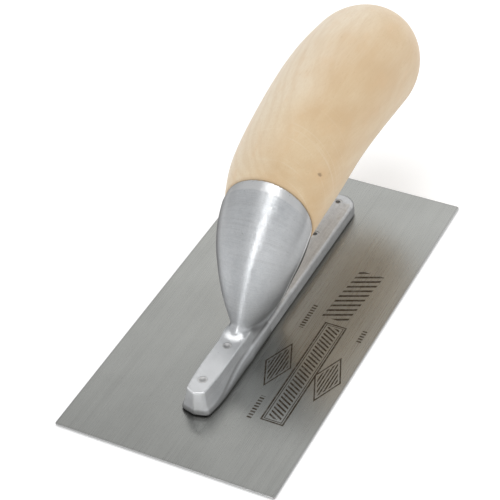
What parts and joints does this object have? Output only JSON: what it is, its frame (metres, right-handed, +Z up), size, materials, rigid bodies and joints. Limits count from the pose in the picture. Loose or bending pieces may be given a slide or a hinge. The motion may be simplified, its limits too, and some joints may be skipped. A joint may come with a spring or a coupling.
{
  "type": "finishing trowel",
  "caption": "Small steel finishing trowel: a flat rectangular blade riveted under a cast mounting, with a curved wooden handle held in its cup.",
  "frame": {"origin": "middle of the blade's underside", "axes": "+Z up from the blade, +Y along the blade from the nose of the mounting to the free end of the handle, +X to the right of someone looking along +Y"},
  "size_m": [0.0762, 0.1758, 0.0732],
  "materials": {
    "blade_steel": "satin, fine lengthwise grinding lines",
    "cast_aluminium": "sanded casting, semi-bright, with fine cross scratches",
    "handle_wood": "smooth pale hardwood, clear satin",
    "stud_steel": "plain",
    "rivet_aluminium": "ground flush"
  },
  "bodies": {
    "root": {"blade": "blade_steel", "mounting": "cast_aluminium", "handle": "handle_wood", "handle_stud": "stud_steel", "rivet_1": "rivet_aluminium", "rivet_2": "rivet_aluminium", "rivet_3": "rivet_aluminium", "rivet_4": "rivet_aluminium", "rivet_5": "rivet_aluminium"}
  },
  "joints": []
}
